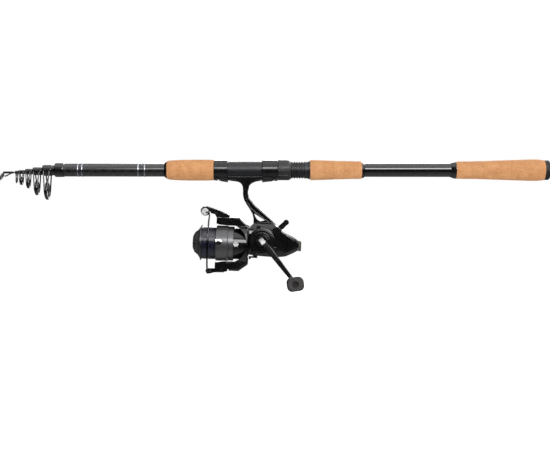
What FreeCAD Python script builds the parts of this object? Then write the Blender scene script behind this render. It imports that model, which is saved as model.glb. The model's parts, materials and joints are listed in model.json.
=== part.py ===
import FreeCAD, Part
import math
import os

os.makedirs("parts", exist_ok=True)
Vec = FreeCAD.Vector

# Telescopic fishing rod, collapsed, with a spinning reel hanging below its seat.
# Millimetres. Origin on the rod axis at the middle of the reel seat, X toward the butt, Z up.

# ---- rod: butt section ----
BLANK_FRONT = -239.4
BLANK_REAR = 370.6
BLANK_FRONT_R = 8.0
BLANK_TAPER = 0.00115
BLANK_MOUTH_R = 6.85
BORE_TAPER = 0.0010
COLLAR_REAR = -228.0
COLLAR_R = 8.6
TRIM_RING_X = (-210.5, -205.4, -135.4, -127.4)
TRIM_RING_WIDTH = 1.2
TRIM_RING_HEIGHT = 0.25

# ---- rod: grips and reel seat ----
FORE_GRIP = (-99.6, -41.3)
MIDDLE_GRIP = (78.8, 143.0)
REAR_GRIP = (260.6, 370.6)
SEAT_R = 10.56
SEAT_SCREW_R = 10.5
SEAT_ROOT_R = 9.6
SEAT_FRONT = -41.3
SEAT_SCREW_START = 37.0
SEAT_SCREW_END = 76.0
SEAT_REAR = 78.8
SEAT_FLANGE_R = 11.2
SEAT_PITCH = 3.2
FIXED_HOOD = (-41.3, -23.9)
MOVING_HOOD = (18.9, 38.6)
LOCK_NUT = (38.7, 54.9)
HOOD_R = 12.4
HOOD_CLEARANCE = 0.08
NUT_R = 12.65
NUT_FLATS = 12
FOOT_RADIAL_GAP = 0.04
FOOT_THICK = 2.6
FOOT_HALF_WIDTH = 6.5
FOOT_FRONT = -35.0
FOOT_REAR = 34.0
POCKET_GAP = 0.25
POCKET_DEPTH = 3.0
CAP_FACE = 370.8
CAP_END = 378.1
CAP_R = 12.3
CAP_STRAIGHT_END = 375.6

# ---- rod: inner sections, from the outermost to the tip ----
# name, front, rear, radius at the front, taper, bore at the front, bore taper, drop of the axis
SECTIONS = (
    ("section_1", -254.5, 352.0, 6.25, 0.0008, 5.45, 0.0009, -0.45),
    ("section_2", -267.0, 346.0, 4.30, 0.0008, 3.65, 0.0008, -1.45),
    ("section_3", -276.5, 340.0, 3.00, 0.0007, 2.40, 0.0007, -2.00),
    ("section_4", -285.2, 334.0, 1.90, 0.0006, 1.35, 0.0010, -2.42),
)
TIP_FRONT = -303.0
TIP_REAR = 328.0
TIP_FRONT_R = 0.72
TIP_TAPER = 0.0008
TIP_DROP = -2.95

# ---- rod: guides ----
# number, sleeve front, sleeve rear, sleeve radius, ring centre X, ring outer radius, ring bottom, wire
GUIDES = (
    (1, -255.0, -243.75, 6.75, -249.5, 11.0, -37.0, 0.85),
    (2, -267.5, -256.25, 4.85, -262.4, 9.0, -31.4, 0.80),
    (3, -276.9, -268.75, 3.55, -273.2, 6.4, -22.8, 0.70),
    (4, -285.6, -277.50, 2.45, -281.9, 5.2, -18.6, 0.62),
)
RING_BAND = 1.25
RING_INSERT_BAND = 1.15
RING_WIDTH = 2.3

# ---- reel: placement of its own frame ----
# u along the spool axis toward the rear, v across (handle side negative), w up
REEL_ORIGIN = Vec(19.25, 0.0, -93.5)
REEL_TILT = 2.5

# ---- reel: rotor, spool and bail ----
BAIL_PIVOT_U = -50.2
SKIRT_R = 22.0
SKIRT_BORE = 20.1
DRUM_R = 19.2
DRUM_BORE = 17.0
ROTOR_REAR = -17.4
FRAME_R = 25.8
FRAME_FRONT = -41.0
OPENING_U = -43.2
OPENING_R = 24.2
ARM_ROUND = 1.6
ROTOR_ARM_INNER = 24.3
ROTOR_ARM_OUTER = 34.0
ARM_SEAT = 31.8
BAIL_PLATE = 32.0
SHAFT_R = 1.5
SHAFT_FRONT_R = 2.4
LINE_R = 20.5
SPOOL_FRONT = -77.2
SPOOL_REAR = -35.7
ROLLER_U = -73.0
ROLLER_W = 38.2
ROLLER_R = 4.3
WIRE_R = 1.0

# ---- reel: gears, housing and handle ----
GEAR_W = 5.5
GEAR_TEETH = 52
PINION_TEETH = 10
PINION_TIP_R = 2.75
PINION_ROOT_R = 2.0
JOURNAL_R = 3.5
BEARING_R = 6.5
HOUSING_HALF = 12.5
STEM_HALF = 4.6
HANDLE_ANGLE = 49.2
HANDLE_LENGTH = 63.4
FOLD_V = -33.0


def along_x(radius, start, end, z=0.0, y=0.0):
    return Part.makeCylinder(radius, end - start, Vec(start, y, z), Vec(1, 0, 0))


def along_y(radius, start, end, x=0.0, z=0.0):
    return Part.makeCylinder(radius, end - start, Vec(x, start, z), Vec(0, 1, 0))


def along_z(radius, start, end, x=0.0, y=0.0):
    return Part.makeCylinder(radius, end - start, Vec(x, y, start), Vec(0, 0, 1))


def block(x0, x1, y0, y1, z0, z1):
    return Part.makeBox(x1 - x0, y1 - y0, z1 - z0, Vec(x0, y0, z0))


def turned(profile, z=0.0):
    """Solid of revolution about the X direction from (x, radius) points, closed along the axis."""
    points = [Vec(profile[0][0], 0, z)]
    points += [Vec(x, 0, z + r) for x, r in profile if r > 0]
    points.append(Vec(profile[-1][0], 0, z))
    face = Part.Face(Part.makePolygon(points + [points[0]]))
    return face.revolve(Vec(0, 0, z), Vec(1, 0, 0), 360)


def turned_smooth(profile, z=0.0):
    """Like turned, with one smooth curve through the (x, radius) points."""
    points = [Vec(x, 0, z + r) for x, r in profile]
    curve = Part.BSplineCurve()
    curve.interpolate(points)
    start = Vec(profile[0][0], 0, z)
    end = Vec(profile[-1][0], 0, z)
    edges = [Part.makeLine(start, points[0]), curve.toShape(), Part.makeLine(points[-1], end)]
    edges.append(Part.makeLine(end, start))
    return Part.Face(Part.Wire(edges)).revolve(Vec(0, 0, z), Vec(1, 0, 0), 360)


def side_plate(outline, y0, y1):
    """Straight-edged (x, z) outline made into a plate from y0 to y1."""
    points = [Vec(x, y0, z) for x, z in outline]
    face = Part.Face(Part.makePolygon(points + [points[0]]))
    return face.extrude(Vec(0, y1 - y0, 0))


def curved_prism(first_side, second_side, travel):
    """Solid swept from a face with two smooth sides and two straight ends."""
    sides = []
    for points in (first_side, second_side):
        curve = Part.BSplineCurve()
        curve.interpolate(points)
        sides.append(curve.toShape())
    front = Part.makeLine(first_side[0], second_side[0])
    back = Part.makeLine(first_side[-1], second_side[-1])
    wire = Part.Wire(Part.__sortEdges__([sides[0], back, sides[1], front]))
    return Part.Face(wire).extrude(travel)


def top_plate(outline, z0, z1):
    """Straight-edged (x, y) outline made into a plate from z0 to z1."""
    points = [Vec(x, y, z0) for x, y in outline]
    face = Part.Face(Part.makePolygon(points + [points[0]]))
    return face.extrude(Vec(0, 0, z1 - z0))


def wire_rod(points, radius):
    """Round wire along a smooth curve through the points."""
    curve = Part.BSplineCurve()
    curve.interpolate(points)
    path = Part.Wire([curve.toShape()])
    tangent = points[1].sub(points[0])
    circle = Part.Wire([Part.makeCircle(radius, points[0], tangent)])
    return path.makePipeShell([circle], True, True)


def straight_wire(start, end, radius):
    direction = end.sub(start)
    rod = Part.makeCylinder(radius, direction.Length, start, direction)
    return rod.fuse([Part.makeSphere(radius, start), Part.makeSphere(radius, end)])


def soften(shape, radius, chosen=None):
    """Round the chosen edges; a smaller radius is tried before the shape is left as it is."""
    edges = [e for e in shape.Edges if chosen is None or chosen(e)]
    for r in (radius, radius * 0.6, radius * 0.35):
        try:
            rounded = shape.makeFillet(r, edges)
        except Exception:
            continue
        if rounded.isValid() and rounded.Volume > 0.5 * shape.Volume:
            return rounded
    return shape


def fused(first, *others):
    return first.fuse(list(others)).removeSplitter()


def save(name, shape):
    solids = shape.Solids
    body = solids[0] if len(solids) == 1 else Part.makeCompound(solids)
    body.exportStep("parts/" + name + ".step")


def save_reel(name, shape):
    moved = shape.copy()
    moved.rotate(Vec(0, 0, 0), Vec(0, 1, 0), REEL_TILT)
    moved.translate(REEL_ORIGIN)
    save(name, moved)


def blank_radius(x):
    return BLANK_FRONT_R + (x - BLANK_FRONT) * BLANK_TAPER


def blank_bore(x):
    return BLANK_MOUTH_R + (x - BLANK_FRONT) * BORE_TAPER


def sleeve_over_blank(profile):
    """Turned piece bored to sit tight on the outside of the butt blank."""
    return turned(profile).cut(BLANK_SOLID)


# ==== rod ====
BLANK_SOLID = turned([(BLANK_FRONT, blank_radius(BLANK_FRONT)), (BLANK_REAR, blank_radius(BLANK_REAR))])
blank_core = turned([(BLANK_FRONT, blank_bore(BLANK_FRONT)), (BLANK_REAR, blank_bore(BLANK_REAR))])
save("butt_blank", BLANK_SOLID.cut(blank_core))

collar = sleeve_over_blank([
    (BLANK_FRONT, COLLAR_R - 0.35),
    (BLANK_FRONT + 0.7, COLLAR_R),
    (COLLAR_REAR - 1.5, COLLAR_R),
    (COLLAR_REAR, blank_radius(COLLAR_REAR) + 0.08),
])
save("blank_end_collar", collar)

trims = []
for ring_x in TRIM_RING_X:
    half = TRIM_RING_WIDTH / 2
    crest = blank_radius(ring_x) + TRIM_RING_HEIGHT
    trims.append(sleeve_over_blank([
        (ring_x - half, crest - 0.12),
        (ring_x - half * 0.5, crest),
        (ring_x + half * 0.5, crest),
        (ring_x + half, crest - 0.12),
    ]))
save("trim_rings", Part.makeCompound(trims))

save("front_winding_check", sleeve_over_blank([(-103.0, 8.45), (-102.4, 9.0), (FORE_GRIP[0], 10.9)]))
back_of_rear = [(254.0, 8.85), (256.6, 9.9), (260.0, 10.85), (REAR_GRIP[0], 10.8)]
checks = [sleeve_over_blank([(143.0, 10.6), (144.6, 9.9), (147.0, 8.75)])]
checks.append(sleeve_over_blank(back_of_rear))
save("grip_checks", Part.makeCompound(checks))


def cork(profile):
    return turned_smooth(profile).cut(BLANK_SOLID)


save("fore_grip", cork([
    (FORE_GRIP[0], 11.2), (-97.5, 11.7), (-91.0, 12.35), (-84.0, 12.75), (-71.0, 13.05),
    (-59.0, 13.1), (-50.0, 13.05), (-44.0, 12.85), (-41.3, 12.6),
]))
save("middle_grip", cork([
    (MIDDLE_GRIP[0], 12.55), (81.0, 12.6), (91.0, 12.4), (104.0, 11.9), (116.0, 11.5),
    (129.0, 11.2), (138.0, 11.1), (141.8, 10.95), (143.0, 10.7),
]))
save("rear_grip", cork([
    (REAR_GRIP[0], 10.75), (263.0, 10.85), (279.0, 11.1), (291.0, 11.35), (304.0, 11.75), (316.0, 12.2),
    (329.0, 12.65), (341.0, 13.05), (352.0, 13.4), (360.0, 13.5), (366.0, 13.15), (370.6, 12.45),
]))

# reel seat barrel: smooth middle, coarse screw at the rear, flange against the middle grip
barrel_profile = [(SEAT_FRONT, SEAT_R), (SEAT_SCREW_START, SEAT_R), (SEAT_SCREW_START + 0.1, SEAT_SCREW_R)]
thread_x = SEAT_SCREW_START + 0.6
while thread_x + SEAT_PITCH < SEAT_SCREW_END:
    barrel_profile += [
        (thread_x, SEAT_SCREW_R),
        (thread_x + 0.5, SEAT_ROOT_R),
        (thread_x + SEAT_PITCH / 2, SEAT_ROOT_R),
        (thread_x + SEAT_PITCH / 2 + 0.5, SEAT_SCREW_R),
    ]
    thread_x += SEAT_PITCH
barrel_profile += [
    (SEAT_SCREW_END, SEAT_SCREW_R), (SEAT_SCREW_END + 0.2, SEAT_FLANGE_R - 0.3),
    (SEAT_SCREW_END + 0.5, SEAT_FLANGE_R), (SEAT_REAR, SEAT_FLANGE_R),
]
save("reel_seat_barrel", sleeve_over_blank(barrel_profile))


def foot_shell(x0, x1, gap, thickness, half_width):
    """Slice of a tube under the barrel, as wide as the reel foot."""
    outer = along_x(SEAT_R + thickness, x0, x1)
    inner = along_x(SEAT_R + gap, x0 - 1, x1 + 1)
    window = block(x0, x1, -half_width, half_width, -SEAT_R - thickness - 1, 0)
    return outer.cut(inner).common(window)


def hood(front, rear, bore, low_front, low_rear, pocket_front, pocket_rear, nose):
    """Hood with a round top and a deeper underside that holds one end of the reel foot."""
    tube = turned([(front, HOOD_R - nose), (front + nose, HOOD_R), (rear - 0.6, HOOD_R), (rear, HOOD_R - 0.5)])
    bulge_outline = [(front, -6.0), (front, -low_front), (rear, -low_rear), (rear, -6.0)]
    bulge = side_plate(bulge_outline, -8.4, 8.4)
    rounding = turned([(front, low_front + 0.1), (rear, low_rear + 0.1)])
    bulge = bulge.common(rounding)
    body = fused(tube, bulge).cut(along_x(bore, front - 1, rear + 1))
    pocket = foot_shell(pocket_front, pocket_rear, -0.4, POCKET_DEPTH + 0.4, FOOT_HALF_WIDTH + POCKET_GAP)
    return body.cut(pocket)


save("fixed_hood", hood(FIXED_HOOD[0], FIXED_HOOD[1], SEAT_R, 12.6, 15.2, -37.0, FIXED_HOOD[1] + 1, 0.5))
hood_bore = SEAT_R + HOOD_CLEARANCE
save("moving_hood", hood(
    MOVING_HOOD[0], MOVING_HOOD[1], hood_bore, 15.2, 13.2, MOVING_HOOD[0] - 1, FOOT_REAR + POCKET_GAP, 0.5))

nut_round = turned([
    (LOCK_NUT[0], NUT_R - 0.5), (LOCK_NUT[0] + 0.6, NUT_R), (LOCK_NUT[1] - 3.0, NUT_R),
    (LOCK_NUT[1] - 0.4, NUT_R - 1.3), (LOCK_NUT[1], NUT_R - 1.6),
])
flats = []
for i in range(NUT_FLATS):
    flute = along_x(1.5, LOCK_NUT[0] - 1, LOCK_NUT[1] - 3.4, NUT_R + 0.95)
    flute.rotate(Vec(0, 0, 0), Vec(1, 0, 0), 360.0 * i / NUT_FLATS)
    flats.append(flute)
nut = nut_round.cut(Part.makeCompound(flats)).cut(along_x(hood_bore, LOCK_NUT[0] - 1, LOCK_NUT[1] + 1))
save("lock_nut", nut)

cap = turned([
    (CAP_FACE, CAP_R), (CAP_STRAIGHT_END, CAP_R), (376.5, 12.0), (377.2, 11.2), (377.7, 9.6), (CAP_END, 6.8),
])
plug = along_x(7.3, 357.0, CAP_FACE + 1)
save("butt_cap", fused(cap, plug))

# inner sections, each lying on the floor of the one around it
for name, front, rear, radius, taper, bore, bore_taper, drop in SECTIONS:
    length = rear - front
    outside = turned([(front, radius - 0.15), (front + 0.3, radius), (rear, radius + length * taper)], drop)
    inside = turned([(front - 0.1, bore), (rear + 0.1, bore + length * bore_taper)], drop)
    save(name, outside.cut(inside))
tip_length = TIP_REAR - TIP_FRONT
save("tip_section", turned([
    (TIP_FRONT, TIP_FRONT_R), (TIP_REAR - 1, TIP_FRONT_R + tip_length * TIP_TAPER), (TIP_REAR, 0.9),
], TIP_DROP))

# guides: a sleeve glued on the front of each section, two U-shaped legs and a ring between them
for number, sleeve_front, sleeve_rear, sleeve_r, ring_x, ring_r, bottom, wire in GUIDES:
    name, front, rear, radius, taper, bore, bore_taper, drop = SECTIONS[number - 1]
    centre = bottom + ring_r
    sleeve = turned([
        (sleeve_front, radius + 0.05), (sleeve_front + 1.2, sleeve_r), (sleeve_rear - 0.4, sleeve_r),
        (sleeve_rear, sleeve_r - 0.2),
    ], drop)
    section_solid = turned([
        (front, radius - 0.15), (front + 0.3, radius), (rear, radius + (rear - front) * taper)], drop)
    mouth = along_x(radius - 0.15, sleeve_front - 1, front + 0.001, drop)
    arc_r = ring_r - wire
    top_z = drop - 0.25 * sleeve_r
    top_y = 0.93 * sleeve_r
    pieces = []
    for lean in (-1, 1):
        top_x = ring_x + lean * (0.32 * (sleeve_rear - sleeve_front))
        foot_x = ring_x + lean * 0.55
        slope = math.degrees(math.atan2(top_x - foot_x, top_z - (centre - arc_r)))
        bend = Part.makeTorus(arc_r, wire, Vec(foot_x, 0, centre), Vec(1, 0, 0), -180, 180, 360)
        lower_half = block(foot_x - 9, foot_x + 9, -20, 20, centre - ring_r - 1, centre)
        bend = bend.common(lower_half)
        bend.rotate(Vec(foot_x, 0, centre - arc_r), Vec(0, 1, 0), slope)
        lift = math.radians(slope)
        side_x = foot_x + arc_r * math.sin(lift)
        side_z = centre - arc_r + arc_r * math.cos(lift)
        pieces.append(bend)
        for side in (-1, 1):
            pieces.append(straight_wire(
                Vec(side_x, side * arc_r, side_z), Vec(top_x, side * top_y, top_z), wire))
    band = along_x(ring_r - 0.1, ring_x - RING_WIDTH / 2, ring_x + RING_WIDTH / 2, centre)
    hole = along_x(ring_r - RING_BAND, ring_x - 9, ring_x + 9, centre)
    frame = sleeve.fuse(pieces + [band]).cut(section_solid).cut(mouth).cut(hole)
    frame = frame.cut(along_x(radius - 0.15, sleeve_front - 1, sleeve_rear + 1, drop))
    save("guide_frame_" + str(number), frame)
    insert_r = ring_r - RING_BAND
    insert_half = RING_WIDTH / 2 + 0.25
    insert = along_x(insert_r, ring_x - insert_half, ring_x + insert_half, centre)
    insert = insert.cut(along_x(insert_r - RING_INSERT_BAND, ring_x - 9, ring_x + 9, centre))
    save("guide_ring_" + str(number), soften(insert, 0.45))

# floating guide: a thin sleeve that runs along the tip section, with one small loop below it
FLOAT_FRONT = -289.6
FLOAT_REAR = -286.0
FLOAT_R = 2.2
FLOAT_BORE = 1.45
FLOAT_RING_R = 3.1
FLOAT_RING_Z = -12.6
float_sleeve = along_x(FLOAT_R, FLOAT_FRONT, FLOAT_REAR, TIP_DROP)
float_x = (FLOAT_FRONT + FLOAT_REAR) / 2
loop = Part.makeTorus(FLOAT_RING_R, 0.75, Vec(float_x, 0, FLOAT_RING_Z), Vec(1, 0, 0))
legs = []
for side in (-1, 1):
    for end_x in (FLOAT_FRONT + 0.8, FLOAT_REAR - 0.8):
        legs.append(straight_wire(
            Vec(float_x, side * FLOAT_RING_R, FLOAT_RING_Z), Vec(end_x, side * 1.5, TIP_DROP - 1.2), 0.45))
floating = float_sleeve.fuse(legs + [loop]).cut(
    along_x(FLOAT_BORE, FLOAT_FRONT - 1, FLOAT_REAR + 1, TIP_DROP))
save("floating_guide", floating)

# tip guide: tube over the tip, a ring leaning forward and a strut under it
TIP_TUBE = (-304.5, -291.5)
TIP_TUBE_R = 1.35
TIP_RING_CENTRE = Vec(-307.2, 0, -8.4)
TIP_RING_R = 5.4
TIP_RING_AXIS = Vec(-0.81, 0, 0.586)
tube = along_x(TIP_TUBE_R, TIP_TUBE[0], TIP_TUBE[1], TIP_DROP)
half_ring = TIP_RING_AXIS * 0.95
ring_start = TIP_RING_CENTRE.sub(half_ring)
tip_band = Part.makeCylinder(TIP_RING_R, 1.9, ring_start, TIP_RING_AXIS)
tip_hole = Part.makeCylinder(TIP_RING_R - 0.95, 8, TIP_RING_CENTRE.sub(TIP_RING_AXIS * 4), TIP_RING_AXIS)
struts = []
for side in (-1, 1):
    struts.append(straight_wire(
        Vec(-294.0, side * 0.7, TIP_DROP - 0.8), Vec(-308.6, side * 4.3, -10.6), 0.55))
tip_frame = tube.fuse(struts + [tip_band]).cut(tip_hole)
tip_bore_r = TIP_FRONT_R + (TIP_TUBE[1] - TIP_FRONT) * TIP_TAPER + 0.02
tip_frame = tip_frame.cut(along_x(tip_bore_r, TIP_FRONT, TIP_TUBE[1] + 1, TIP_DROP))
save("tip_guide_frame", tip_frame)
insert_start = TIP_RING_CENTRE.sub(TIP_RING_AXIS * 1.15)
tip_insert = Part.makeCylinder(TIP_RING_R - 0.95, 2.3, insert_start, TIP_RING_AXIS)
tip_insert = tip_insert.cut(Part.makeCylinder(
    TIP_RING_R - 1.9, 8, TIP_RING_CENTRE.sub(TIP_RING_AXIS * 4), TIP_RING_AXIS))
save("tip_guide_ring", soften(tip_insert, 0.35))

# ==== reel: housing with stem and foot ====
BODY_FRONT = -17.1
BODY_END = 44.6
BODY_TOP = (
    (BODY_FRONT, 19.4), (-12.3, 25.8), (-4.3, 28.4), (7.0, 28.0), (18.4, 24.4), (26.0, 19.4), (34.5, 14.6),
    (40.6, 10.8), (BODY_END, 6.6),
)
BODY_BOTTOM = (
    (BODY_FRONT, -12.6), (-4.0, -13.7), (9.0, -14.3), (19.0, -14.2), (28.0, -13.2), (35.6, -11.4),
    (41.2, -8.6), (BODY_END, -5.2),
)
BODY_SIDE = (
    (BODY_FRONT, HOUSING_HALF), (0.0, HOUSING_HALF), (14.0, HOUSING_HALF - 0.2), (30.0, 10.9), (39.0, 9.1),
    (BODY_END, 7.4),
)
STEM_OUTLINE = (
    (-12.3, 24.0), (-12.4, 31.9), (-14.0, 38.0), (-17.4, 43.5), (-21.4, 49.0), (-25.2, 55.1),
    (-26.9, 61.0), (-27.3, 74.0), (-20.9, 74.0), (-20.9, 64.0), (-19.5, 58.8), (-15.6, 54.6),
    (-11.4, 49.6), (8.0, 33.8), (17.6, 25.6), (22.0, 20.0), (16.0, 18.0),
)
STEM_WINDOW = ((-12.0, 38.8), (1.6, 30.9), (-3.9, 29.4), (-7.8, 31.4), (-10.2, 34.6))
STEM_POCKET = (
    (-23.3, 60.0), (-21.9, 60.2), (-18.0, 54.4), (-13.2, 48.8), (7.0, 32.6), (12.4, 27.8), (7.4, 28.4),
    (-12.2, 41.8), (-16.8, 45.8), (-20.4, 51.2),
)
STEM_POCKET_DEPTH = 1.4
SEAM_CENTRE = (5.5, 4.0)
SEAM_R = 25.2
SEAM_GROOVE = 0.5
SEAM_FLOOR_V = 10.3
GEAR_ROOM_R = 14.9
GEAR_OUTER_R = 14.2
GEAR_INNER_R = 11.8
COVER_CENTRE = (-0.6, 5.2)
COVER_R = 16.2
COVER_FACE = -16.4
COVER_INSIDE = -12.6
COVER_BACK = -8.4
SCREW_SEAT = -8.8
SCREW_BOSS_END = -13.2
TAIL_W = 2.2
TAIL_PROFILE = ((-20.0, 36.0), (2.0, 31.0), (16.0, 23.8), (30.0, 15.2), (38.0, 11.2), (44.7, 7.2))
DOME_HALF_V = 13.2
DOME_HALF_W = 23.6
DOME_CENTRE_W = 6.0
COVER_SCREWS = ((-5.2, 21.6), (14.8, -4.2), (-10.6, -9.6))
BOSS_R = 10.5
CLUTCH_R = 8.55
LEVER_PIN = (17.4, 18.0)
LEVER_TIP = (28.3, 29.3)
LEVER_BOSS_R = 5.6
LEVER_DISC_R = 4.9
LEVER_TIP_R = 3.4
BRAKE_PIN_U = -8.5
TENSION_W = 0.8


def gear_axis(radius, start, end):
    return along_y(radius, start, end, 0.0, GEAR_W)


body = curved_prism(
    [Vec(x, -HOUSING_HALF, z) for x, z in BODY_TOP],
    [Vec(x, -HOUSING_HALF, z) for x, z in BODY_BOTTOM], Vec(0, 2 * HOUSING_HALF, 0))
waist = curved_prism(
    [Vec(x, y, -20) for x, y in BODY_SIDE], [Vec(x, -y, -20) for x, y in BODY_SIDE], Vec(0, 0, 55))
body = body.common(waist)
oval = Part.Wire([Part.Ellipse(Vec(0, 0, 0), DOME_HALF_W, DOME_HALF_V).toShape()])
oval.rotate(Vec(0, 0, 0), Vec(0, 1, 0), 90)
oval.translate(Vec(-30.0, 0, DOME_CENTRE_W))
dome = Part.Face(oval).extrude(Vec(90.0, 0, 0))
tail = turned_smooth(TAIL_PROFILE, TAIL_W)
body = body.common(dome).common(tail)

seam = along_y(SEAM_R, -30, 30, SEAM_CENTRE[0], SEAM_CENTRE[1])
rear_room = along_x(8.4, 15.0, 34.0).fuse(along_x(4.2, 33.0, 41.0))
slider_room = block(-13.0, 22.0, -8.0, 9.5, -9.6, 8.6)
body_rear = body.cut(seam).common(block(15.0, 50.0, -30, 30, -30, 40))
body_front = body.cut(body_rear)
for side in (-30.0, SEAM_FLOOR_V):
    groove = along_y(SEAM_R + 0.1, side, side + 30.0 - SEAM_FLOOR_V, SEAM_CENTRE[0], SEAM_CENTRE[1])
    core = along_y(SEAM_R - SEAM_GROOVE, side - 1, side + 31.0 - SEAM_FLOOR_V, SEAM_CENTRE[0], SEAM_CENTRE[1])
    body_front = body_front.cut(groove.cut(core).common(block(15.0, 50.0, -40, 40, -30, 40)))

stem = soften(side_plate(STEM_OUTLINE, -STEM_HALF, STEM_HALF), 1.7, lambda e: e.BoundBox.YLength < 0.1)
stem = stem.cut(side_plate(STEM_WINDOW, -9, 9))
stem = stem.cut(side_plate(STEM_POCKET, -9, STEM_POCKET_DEPTH - STEM_HALF))
stem = stem.cut(side_plate(STEM_POCKET, STEM_HALF - STEM_POCKET_DEPTH, 9))
housing = body_front.fuse([
    stem, along_x(BOSS_R, -36.5, -16.0), gear_axis(9.2, 9.0, 14.4),
    along_y(LEVER_BOSS_R, -12.6, -7.0, LEVER_PIN[0], LEVER_PIN[1]),
    along_z(3.2, -14.4, -12.0, BRAKE_PIN_U),
])
housing = housing.cut(gear_axis(GEAR_ROOM_R, -13.5, 9.9))
housing = housing.cut([slider_room, rear_room])
housing = housing.cut(along_y(COVER_R, COVER_FACE, COVER_BACK, COVER_CENTRE[0], COVER_CENTRE[1]))
for screw_u, screw_w in COVER_SCREWS:
    housing = housing.cut(along_y(2.9, COVER_FACE, SCREW_SEAT, screw_u, screw_w))
housing = housing.cut([
    gear_axis(BEARING_R, 9.8, 13.9), gear_axis(4.2, 13.8, 14.6),
    along_x(BEARING_R, -22.0, -18.0), along_x(5.0, -37.0, -9.0), along_x(CLUTCH_R, -37.0, -26.5),
    along_y(2.06, -13.0, -10.2, LEVER_PIN[0], LEVER_PIN[1]),
    along_z(1.86, -14.6, -11.4, BRAKE_PIN_U),
])
for screw_u, screw_w in COVER_SCREWS:
    housing = housing.cut(along_y(1.1, -12.6, -7.8, screw_u, screw_w))
housing.rotate(Vec(0, 0, 0), Vec(0, 1, 0), REEL_TILT)
housing.translate(REEL_ORIGIN)

flare = side_plate((
    (-5.0, -24.5), (-5.3, -20.6), (-6.9, -17.3), (-9.8, -15.1), (-14.0, -14.0), (-20.0, -13.4), (-20.0, -9.0),
    (16.5, -9.0), (16.5, -13.4), (12.0, -14.0), (8.4, -15.2), (5.0, -17.0), (2.7, -19.8), (1.7, -25.0)),
    -5.2, 5.2)
flare = soften(flare, 2.2, lambda e: e.BoundBox.YLength < 0.1)
foot = foot_shell(FOOT_FRONT, FOOT_REAR, FOOT_RADIAL_GAP, FOOT_THICK, FOOT_HALF_WIDTH)
seat_room = along_x(SEAT_R + FOOT_RADIAL_GAP, -60, 60)
housing = housing.fuse([flare, foot]).cut(seat_room)
save("reel_housing", housing.removeSplitter())

rear_cap = body_rear.cut(stem).cut(rear_room).cut(along_x(2.96, 40.0, 46.0, TENSION_W))
save_reel("rear_cap", rear_cap)

cover = along_y(COVER_R, COVER_FACE, COVER_BACK, COVER_CENTRE[0], COVER_CENTRE[1])
cover = soften(cover, 1.6, lambda e: e.BoundBox.YMax < COVER_FACE + 0.01)
for screw_u, screw_w in COVER_SCREWS:
    cover = cover.fuse(along_y(2.9, SCREW_BOSS_END, SCREW_SEAT, screw_u, screw_w))
for ring_r in (13.2, 9.8):
    rib = along_y(ring_r, COVER_FACE - 0.5, COVER_FACE + 0.5, -0.6, GEAR_W)
    cover = cover.fuse(rib.cut(along_y(ring_r - 1.1, COVER_FACE - 1, COVER_FACE + 1, -0.6, GEAR_W)))
cover = cover.cut(gear_axis(GEAR_ROOM_R, COVER_INSIDE, 0.0)).fuse(gear_axis(8.4, -14.0, -10.9))
cover = cover.cut([gear_axis(BEARING_R, -14.6, -10.0), gear_axis(4.2, -18.0, -14.0)])
for screw_u, screw_w in COVER_SCREWS:
    cover = cover.cut(along_y(1.1, -18.0, -8.0, screw_u, screw_w))
    cover = cover.cut(along_y(2.3, -18.0, SCREW_BOSS_END, screw_u, screw_w))
save_reel("side_cover", cover.removeSplitter())

screws = []
for screw_u, screw_w in COVER_SCREWS:
    shank = along_y(1.1, SCREW_BOSS_END - 0.1, -8.0, screw_u, screw_w)
    head = along_y(2.2, SCREW_BOSS_END - 1.3, SCREW_BOSS_END, screw_u, screw_w)
    slot_z = along_y(0.75, SCREW_BOSS_END - 2.0, SCREW_BOSS_END - 0.6, screw_u, screw_w)
    screws.append(fused(shank, head).cut(slot_z))
save_reel("side_cover_screws", Part.makeCompound(screws))

dust_cap = gear_axis(7.6, 14.4, 17.2)
dust_cap = soften(dust_cap, 1.2, lambda e: e.BoundBox.YMin > 17.1)
save_reel("drive_dust_cap", dust_cap.cut(gear_axis(4.0, 14.0, 15.4)))

# ---- gear train ----
JOURNAL_GAP = 0.04
bearing_rings = [along_x(BEARING_R, -22.0, -18.0).cut(along_x(JOURNAL_R, -23.0, -17.0))]
bearing_rings.append(gear_axis(BEARING_R, -14.6, -10.6).cut(gear_axis(JOURNAL_R, -15.0, -10.0)))
bearing_rings.append(gear_axis(BEARING_R, 9.9, 13.9).cut(gear_axis(JOURNAL_R, 9.0, 15.0)))
save_reel("ball_bearings", Part.makeCompound(bearing_rings))

clutch = along_x(CLUTCH_R, -34.0, -26.5).cut(along_x(JOURNAL_R, -35.0, -26.0))
save_reel("one_way_clutch", clutch)


def toothed_bar(count, root_r, tip_r, start, end):
    """Straight-toothed pinion along the spool axis."""
    points = []
    for tooth in range(count):
        middle = 2 * math.pi * tooth / count
        for offset, radius in ((-0.22, root_r), (-0.10, tip_r), (0.10, tip_r), (0.22, root_r)):
            angle = middle + offset * 2 * math.pi / count * 1.4
            points.append(Vec(start, radius * math.cos(angle), radius * math.sin(angle)))
    face = Part.Face(Part.makePolygon(points + [points[0]]))
    return face.extrude(Vec(end - start, 0, 0))


journal = JOURNAL_R - JOURNAL_GAP
pinion = toothed_bar(PINION_TEETH, PINION_ROOT_R, PINION_TIP_R, -17.4, -9.8)
pinion = pinion.fuse([along_x(journal, -44.0, -17.3), along_x(2.9, -46.3, -43.9)])
pinion = pinion.cut(along_x(SHAFT_R + 0.08, -50, 0))
save_reel("pinion_gear", pinion.removeSplitter())

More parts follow.
